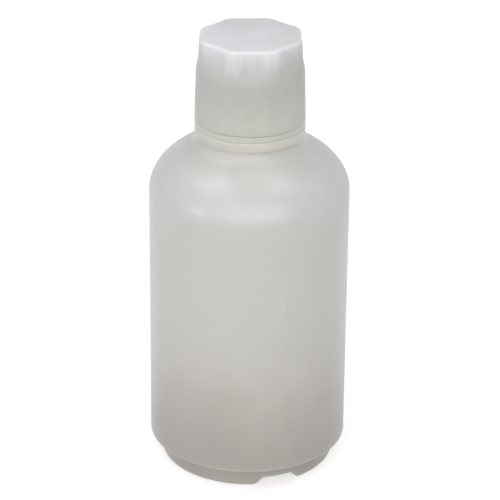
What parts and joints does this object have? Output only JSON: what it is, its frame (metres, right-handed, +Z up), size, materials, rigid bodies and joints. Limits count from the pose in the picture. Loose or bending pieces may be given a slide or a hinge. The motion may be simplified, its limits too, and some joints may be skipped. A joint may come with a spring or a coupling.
{
  "type": "buttress bottle",
  "caption": "Round natural plastic bottle with a dome shoulder, notched foot ring and coarse buttress neck thread, closed by a deep screw cap with an eight-ribbed grip.",
  "frame": {"origin": "centre of the foot ring on the surface that the bottle stands on", "axes": "+Z up along the bottle's axis, -Y towards the front"},
  "size_m": [0.077, 0.077, 0.1744],
  "materials": {
    "bottle_plastic": "natural translucent polyethylene, satin",
    "cap_plastic": "natural translucent polypropylene, satin",
    "liner_foam": "white closed-cell foam"
  },
  "bodies": {
    "bottle": {"bottle": "bottle_plastic"},
    "liner": {"cap_liner": "liner_foam"},
    "cap": {"cap": "cap_plastic"}
  },
  "joints": [
    {"name": "cap_lift", "type": "slide", "parent": "bottle", "child": "liner", "axis": [0, 0, 1], "range_m": [0, 0.0378]},
    {"name": "cap_turn", "type": "hinge", "parent": "liner", "child": "cap", "pos_m": [0, 0, 0.158], "axis": [0, 0, 1], "range_deg": [0, 3240]}
  ],
  "couplings": [
    {"joint": "cap_lift", "follows": "cap_turn", "m_per_rad": 0.00066845}
  ]
}
